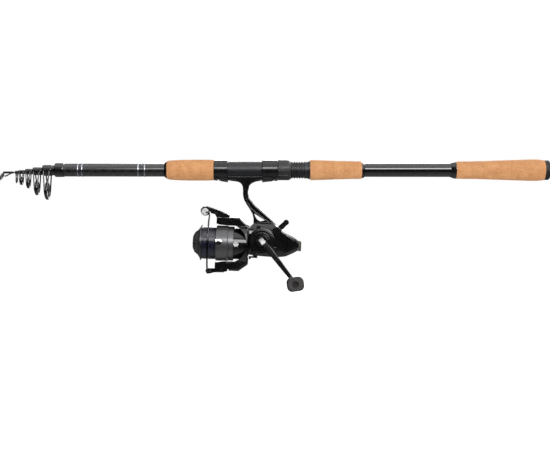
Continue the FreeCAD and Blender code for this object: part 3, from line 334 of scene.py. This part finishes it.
def line_material():
    """Navy monofilament under a thin coat; the turns read as fine bright and dark bands."""
    shader = Shader("navy_monofilament", roughness=0.22, coat=0.4, coat_roughness=0.12)
    even = shader.even()
    cloud = shader.noise(even, 240.0, 4.0, 0.6)
    shader.colour(shader.ramp(cloud, (
        (0.3, (0.0026, 0.0027, 0.0075)), (0.7, (0.0070, 0.0072, 0.0190)))))
    shader.rough(shader.grey(shader.noise(even, 500.0, 3.0), 0.18, 0.36, 0.3, 0.7))
    return shader.material


def turned_metal(name, dark, light, roughness, joint_name, pitch, painted_shade_at):
    """Anodised, lathe-turned surface: rings around a joint's axis, and painted shade, black, around a given spot.
    """
    axis = Vector(JOINTS[joint_name]["axis"])
    turn = axis.rotation_difference(Vector((1.0, 0.0, 0.0))).to_euler()
    shader = Shader(name, metallic=0.85, coat=0.3, coat_roughness=0.08)
    turned_space = shader.scaled((1.0, 1.0, 1.0), tuple(turn))
    stretched = shader.tree.nodes.new("ShaderNodeMapping")
    stretched.inputs["Scale"].default_value = (1.0, 0.06, 0.06)
    shader.link(turned_space, stretched.inputs["Vector"])
    rings = shader.noise(stretched.outputs["Vector"], pitch, 3.0, 0.6)
    cloud = shader.noise(shader.even(), 90.0, 4.0)
    tone = shader.ramp(cloud, ((0.3, dark), (0.7, light)))
    # Painted shade: black around the given spot, in the hollow of the line clip's D.
    shader.colour(shader.mix(shader.near(*painted_shade_at, INSET_EDGE), tone, (0.006, 0.006, 0.006)))
    shader.rough(shader.grey(rings, roughness * 0.75, roughness * 1.3, 0.3, 0.7))
    shader.bump(rings, 0.12, 0.00006)
    return shader.material


def handle_arm_material(pivot, reach):
    """Black lacquered arm whose square end, in the hub's fork, is left as bright milled metal."""
    shader = Shader("handle_arm_lacquer", rounding=FORGED_EDGE)
    even = shader.even()
    bare = shader.near(pivot, reach, INSET_EDGE, planar=True)
    cloud = shader.noise(even, 60.0, 5.0, 0.6)
    lacquer = shader.ramp(cloud, ((0.3, (0.0026, 0.0026, 0.0028)), (0.75, (0.0060, 0.0060, 0.0064))))
    cuts = shader.noise(even, 900.0, 5.0, 0.7)
    milled = shader.ramp(cuts, ((0.3, (0.46, 0.46, 0.46)), (0.7, (0.74, 0.74, 0.74))))
    shader.colour(shader.mix(bare, lacquer, milled))
    shader.link(bare, shader.surface.inputs["Metallic"])
    haze = shader.grey(shader.noise(even, 170.0, 6.0, 0.65), 0.12, 0.22, 0.3, 0.75)
    shader.rough(shader.mix(bare, haze, 0.42))
    shader.bump(shader.noise(even, 650.0, 2.0, 0.5), 0.05, 0.0001)
    return shader.material


def bail_wire_material(roller_centre, cap_back):
    """Black-nickel wire; the cap over the line roller's end is bright and knurled."""
    shader = Shader("black_nickel_and_bright_cap", metallic=1.0)
    even = shader.even()
    ahead = shader.grey(shader.axes()[1], 1.0, 0.0, cap_back - CAP_EDGE, cap_back + CAP_EDGE)
    round_cap = shader.near(roller_centre, CAP_RADIUS, RECESS_EDGE, planar=True)
    cap = shader.math("MULTIPLY", round_cap, ahead)
    tone = shader.noise(even, 160.0, 5.0)
    wire = shader.ramp(tone, ((0.3, (0.050, 0.050, 0.054)), (0.7, (0.085, 0.085, 0.090))))
    knurl = shader.cells(even, 1500.0)
    bright = shader.ramp(knurl, ((0.1, (0.26, 0.26, 0.27)), (0.6, (0.62, 0.62, 0.62))))
    shader.colour(shader.mix(cap, wire, bright))
    shader.rough(shader.mix(cap, shader.grey(tone, 0.12, 0.22, 0.3, 0.7), 0.55))
    shader.bump(shader.math("MULTIPLY", knurl, cap), 0.6, 0.0003)
    return shader.material


def knurled_screw_material():
    """Bright plated screw whose head has a fine cast texture."""
    shader = Shader("knurled_plating", metallic=1.0)
    even = shader.even()
    grain = shader.cells(even, 1300.0)
    shader.colour(shader.ramp(grain, ((0.05, (0.22, 0.22, 0.225)), (0.6, (0.66, 0.66, 0.66)))))
    shader.rough(shader.grey(shader.noise(even, 700.0), 0.42, 0.62, 0.3, 0.7))
    shader.bump(grain, 0.7, 0.0003)
    return shader.material


def felt_material():
    """Matted fibres of the drag washers."""
    shader = Shader("greased_felt", roughness=0.9)
    even = shader.even()
    fibre = shader.noise(even, 900.0, 6.0, 0.75, 0.6)
    shader.colour(shader.ramp(fibre, ((0.3, (0.16, 0.12, 0.07)), (0.7, (0.34, 0.28, 0.19)))))
    shader.bump(fibre, 0.8, 0.0002)
    return shader.material


# Centre and radius of the black painted shade on the spool, in the line clip's D.
clip_low, clip_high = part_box("line_clip")
CLIP_PAINTED_SHADE = ((clip_low + clip_high) / 2, CLIP_SHADE_RADIUS)
JET = (0.0022, 0.0022, 0.0024)
SOOT = (0.0050, 0.0050, 0.0054)

MATERIALS = {
    "blank": blank_material("carbon_blank", WRAP_END_X, 0.55),
    "collar": glossy_moulding("lacquered_binding", JET, SOOT, 0.16),
    "trim": metal("trim_bands", (0.42, 0.46, 0.52), (0.62, 0.66, 0.72), 0.28, (1.0, 0.1, 0.1)),
    "cork": cork_material(),
    "check": glossy_moulding("winding_check", (0.0022, 0.0022, 0.0023), (0.0050, 0.0050, 0.0054), 0.20),
    "hood": glossy_moulding(
        "hood_moulding", (0.0020, 0.0021, 0.0026), (0.0048, 0.0050, 0.0060), 0.20, 0.15),
    "seat": satin_moulding("seat_moulding", (0.0040, 0.0043, 0.0058), (0.0085, 0.0090, 0.0115), 0.42),
    "butt_rubber": rubber_material("butt_rubber", (0.0030, 0.0030, 0.0030), (0.0070, 0.0070, 0.0070)),
    "inner_blank": blank_material("inner_carbon_blank", NO_WRAP_X, 0.0),
    "guide_frame": glossy_moulding("guide_wire_coating", JET, SOOT, 0.18),
    "guide_ring": glossy_moulding(
        "ring_ceramic", (0.020, 0.021, 0.024), (0.045, 0.047, 0.052), 0.10, 0.8),
    "reel_body": glossy_moulding(
        "reel_body_moulding", (0.0020, 0.0020, 0.0022), (0.0046, 0.0046, 0.0050), 0.12),
    "reel_cover": glossy_moulding(
        "reel_cover_moulding", JET, (0.0052, 0.0052, 0.0056), 0.15, 0.4),
    "screw": metal("black_oxide_screw", (0.022, 0.022, 0.023), (0.045, 0.045, 0.046), 0.30),
    "rotor": glossy_moulding("rotor_moulding", JET, SOOT, 0.14, 0.4),
    "bright_screw": knurled_screw_material(),
    "bail_lever": glossy_moulding("bail_lever_moulding", JET, SOOT, 0.13),
    "bail_wire": bail_wire_material(JOINTS["roller_spin"]["pos_m"], CAP_BACK_Y),
    "roller": metal("roller_plating", (0.52, 0.52, 0.54), (0.74, 0.74, 0.75), 0.20),
    "spool_metal": turned_metal(
        "gunmetal_anodising", (0.092, 0.092, 0.095), (0.135, 0.135, 0.14), 0.36,
        "spool_turn", 2600.0, CLIP_PAINTED_SHADE),
    "line": line_material(),
    "clip": metal("clip_plating", (0.70, 0.70, 0.71), (0.88, 0.88, 0.88), 0.14),
    "knob_plastic": satin_moulding(
        "drag_knob_moulding", (0.018, 0.018, 0.018), (0.034, 0.034, 0.0335), 0.45),
    "felt": felt_material(),
    "steel": metal("ground_steel", (0.42, 0.42, 0.43), (0.60, 0.60, 0.61), 0.22),
    "bronze": metal("machined_brass", (0.50, 0.34, 0.14), (0.68, 0.50, 0.24), 0.25),
    "zinc": metal("cast_zinc", (0.40, 0.40, 0.41), (0.54, 0.54, 0.55), 0.38, streaks=300.0),
    "handle_metal": glossy_moulding(
        "handle_lacquer", (0.0026, 0.0026, 0.0028), (0.0060, 0.0060, 0.0064), 0.14),
    # The knob's recessed spot is painted nearly black as painted shade.
    "handle_grip": rubber_material(
        "soft_touch_grip", (0.014, 0.0118, 0.0114), (0.030, 0.0255, 0.0245),
        painted_shade_spot=(JOINTS["knob_spin"]["pos_m"], KNOB_SHADE_RADIUS)),
    "tension": glossy_moulding(
        "tension_knob_moulding", (0.008, 0.0068, 0.003), (0.024, 0.020, 0.009), 0.24),
}

# These two nodes look unlike the others in their slot.
NODE_MATERIALS = {
    "lock_nut": satin_moulding(
        "nut_moulding", (0.009, 0.0086, 0.009), (0.017, 0.016, 0.017), 0.42, 900.0, 0.12),
    "handle_arm": handle_arm_material(JOINTS["handle_fold"]["pos_m"], BARE_TANG_REACH),
}

for part in frame["record"]["subparts"]:
    node = NODES[part["node"]]
    slot_material = MATERIALS[part["material_slot"]]
    node.data.materials.clear()
    node.data.materials.append(NODE_MATERIALS.get(part["node"], slot_material))


# ---- the line as it lies on the spool: turns side by side, with a slow crossing lay ----
LINE_TURNS = 40
STEPS_PER_TURN = 6
LINE_SIDES = 120
LINE_GROOVE = 0.00017
CROSS_RISE = 0.00006
LINE_CROWN = 0.0004
LINE_MARGIN = 0.00005
CROSS_WAVES = 2.5
CROSS_STARTS = 2
CROSS_SHARPNESS = 10
STRAND_ROUND = 0.96
HUB_RADIUS = 0.0130


def wound_turns(node_name, joint_name):
    """Sleeve, open at its bore, whose outer face carries a fine helix of line."""
    axis = Vector(JOINTS[joint_name]["axis"]).normalized()
    across = Vector((0.0, 1.0, 0.0))
    upward = axis.cross(across)
    box_low, box_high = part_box(node_name)
    centre = (box_low + box_high) / 2
    outer = (box_high.y - box_low.y) / 2 - LINE_MARGIN
    length = ((box_high.x - box_low.x) - 2 * outer * abs(axis.z)) / abs(axis.x)
    steps = LINE_TURNS * STEPS_PER_TURN
    points = []
    faces = []
    for step in range(-1, steps + 2):
        share = min(max(step / steps, 0.0), 1.0)
        for side in range(LINE_SIDES):
            angle = 2 * math.pi * side / LINE_SIDES
            turn = share * LINE_TURNS + side / LINE_SIDES
            strand = 2 * (turn - math.floor(turn)) - 1
            wave = math.cos(2 * math.pi * (CROSS_WAVES * share) + CROSS_STARTS * angle)
            crossing = max(0.0, wave) ** CROSS_SHARPNESS
            radius = outer - LINE_CROWN * (2 * share - 1) ** 4 - CROSS_RISE * (1 - crossing)
            radius -= LINE_GROOVE * (1 - math.sqrt(1 - STRAND_ROUND * strand * strand))
            if step < 0 or step > steps:
                radius = HUB_RADIUS
            spot = axis * ((share - 0.5) * length) + across * (radius * math.cos(angle))
            points.append(centre + spot + upward * (radius * math.sin(angle)))
    rings = len(points) // LINE_SIDES
    for ring in range(rings - 1):
        for side in range(LINE_SIDES):
            here = ring * LINE_SIDES + side
            beside = ring * LINE_SIDES + (side + 1) % LINE_SIDES
            faces.append((here, here + LINE_SIDES, beside + LINE_SIDES, beside))
    mesh = bpy.data.meshes.new("line_turns")
    mesh.from_pydata(points, [], faces)
    mesh.shade_smooth()
    piece = bpy.data.objects.new("line_turns", mesh)
    bpy.context.scene.collection.objects.link(piece)
    mesh.materials.append(MATERIALS["line"])
    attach(piece, "spool_body")
    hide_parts(node_name)


wound_turns("wound_line", "spool_turn")


# ---- camera, floor and light ----
VIEW_CENTRE = Vector((0.035, 0.0, -0.0686))
VIEW_WIDTH = 0.6875
CAMERA_DISTANCE = 1.20
SENSOR_WIDTH = 36.0
camera_data = bpy.data.cameras.new("camera")
camera_data.sensor_width = SENSOR_WIDTH
camera_data.lens = SENSOR_WIDTH * CAMERA_DISTANCE / VIEW_WIDTH
camera = bpy.data.objects.new("camera", camera_data)
camera.location = VIEW_CENTRE + Vector((0.0, -CAMERA_DISTANCE, 0.0))
camera.rotation_euler = (math.pi / 2, 0.0, 0.0)
bpy.context.scene.collection.objects.link(camera)
bpy.context.scene.camera = camera

FLOOR_DROP = 0.30
FLOOR_HALF = 6.0
floor_mesh = bpy.data.meshes.new("floor")
floor_z = CAD_BOUNDS[0][2] - FLOOR_DROP
floor_mesh.from_pydata(
    [(-FLOOR_HALF, -FLOOR_HALF, floor_z), (FLOOR_HALF, -FLOOR_HALF, floor_z),
     (FLOOR_HALF, FLOOR_HALF, floor_z), (-FLOOR_HALF, FLOOR_HALF, floor_z)], [], [(0, 1, 2, 3)])
floor = bpy.data.objects.new("floor", floor_mesh)
bpy.context.scene.collection.objects.link(floor)
floor_shader = Shader("studio_floor", roughness=0.8)
floor_tone = floor_shader.noise(floor_shader.even(), 2.0, 2.0)
floor_shader.colour(floor_shader.ramp(floor_tone, (
    (0.3, (0.90, 0.90, 0.90)), (0.7, (0.93, 0.93, 0.93)))))
floor_mesh.materials.append(floor_shader.material)
floor.visible_glossy = False

# The room is white to the lens. What lights the object and shows in it is a dark room with
# wide strip softboxes before and behind it, a box on the butt's side, a ceiling bank and a
# grey table. Each window below is a pair of direction components between which the glow
# rises or falls.
STRIP_GLOW = 8.0
STRIP_SIDES = 1.0
STRIP_BOTTOM = (0.19, 0.25)
STRIP_TOP = (0.58, 0.50)
STRIP_TIP_SIDE = (-0.20, -0.08)
STRIP_FACING = (0.55, 0.80)
BANK_GLOW = 1.3
BANK_BEHIND = 0.3
BANK_HEIGHT = (0.60, 0.75)
BANK_DEPTH = (0.60, 0.30)
TABLE_GLOW = 0.35
TABLE_DROP = (-0.35, -0.95)
SIDE_BOX_GLOW = 3.0
SIDE_BOX_NEAR = (0.16, 0.26)
SIDE_BOX_FAR = (0.78, 0.68)
SIDE_BOX_FACING = (0.18, 0.30)
SIDE_BOX_BOTTOM = (0.22, 0.30)
SIDE_BOX_TOP = (0.86, 0.78)
ROOM_GLOW = 0.01
world = bpy.data.worlds.new("studio")
world.use_nodes = True
sky = world.node_tree
sky.nodes.clear()


def sky_node(kind, **values):
    node = sky.nodes.new(kind)
    for key, value in values.items():
        setattr(node, key, value)
    return node


def sky_window(source, span, low=0.0, high=1.0):
    """Soft step from low to high over a span of one direction component."""
    node = sky_node("ShaderNodeMapRange", interpolation_type="SMOOTHSTEP")
    for key, value in zip(("From Min", "From Max", "To Min", "To Max"), (*span, low, high)):
        node.inputs[key].default_value = value
    sky.links.new(source, node.inputs["Value"])
    return node.outputs["Result"]


def sky_math(operation, first, second):
    node = sky_node("ShaderNodeMath", operation=operation)
    for value, socket in zip((first, second), node.inputs):
        if isinstance(value, (int, float)):
            socket.default_value = value
        else:
            sky.links.new(value, socket)
    return node.outputs[0]


direction = sky_node("ShaderNodeSeparateXYZ")
sky.links.new(sky_node("ShaderNodeTexCoord").outputs["Generated"], direction.inputs[0])
sky_x, sky_y, sky_z = direction.outputs
facing = sky_math("ABSOLUTE", sky_y, 0.0)
strip = sky_math("MULTIPLY", sky_window(sky_z, STRIP_BOTTOM), sky_window(sky_z, STRIP_TOP))
strip = sky_math("MULTIPLY", strip, sky_window(sky_x, STRIP_TIP_SIDE))
strip = sky_math("MULTIPLY", strip, sky_window(facing, STRIP_FACING, STRIP_SIDES, STRIP_GLOW))
bank_depth = sky_window(sky_y, BANK_DEPTH, BANK_BEHIND, BANK_GLOW)
bank = sky_math("MULTIPLY", sky_window(sky_z, BANK_HEIGHT), bank_depth)
table = sky_window(sky_z, TABLE_DROP, 0.0, TABLE_GLOW)
side_box = sky_math("MULTIPLY", sky_window(sky_x, SIDE_BOX_NEAR), sky_window(sky_x, SIDE_BOX_FAR))
side_box = sky_math("MULTIPLY", side_box, sky_window(facing, SIDE_BOX_FACING, 0.0, SIDE_BOX_GLOW))
side_box_height = sky_math(
    "MULTIPLY", sky_window(sky_z, SIDE_BOX_BOTTOM), sky_window(sky_z, SIDE_BOX_TOP))
side_box = sky_math("MULTIPLY", side_box, side_box_height)
glow = sky_math("ADD", sky_math("ADD", strip, bank), sky_math("ADD", table, ROOM_GLOW))
glow = sky_math("ADD", glow, side_box)
room = sky_node("ShaderNodeBackground")
room.inputs["Color"].default_value = (1.0, 1.0, 1.0, 1.0)
sky.links.new(glow, room.inputs["Strength"])
white = sky_node("ShaderNodeBackground")
white.inputs["Color"].default_value = (1.0, 1.0, 1.0, 1.0)
white.inputs["Strength"].default_value = 1.0
chosen = sky_node("ShaderNodeMixShader")
sky.links.new(sky_node("ShaderNodeLightPath").outputs["Is Camera Ray"], chosen.inputs[0])
sky.links.new(room.outputs[0], chosen.inputs[1])
sky.links.new(white.outputs[0], chosen.inputs[2])
sky.links.new(chosen.outputs[0], sky_node("ShaderNodeOutputWorld").inputs["Surface"])
bpy.context.scene.world = world
bpy.context.scene.view_settings.view_transform = "Standard"
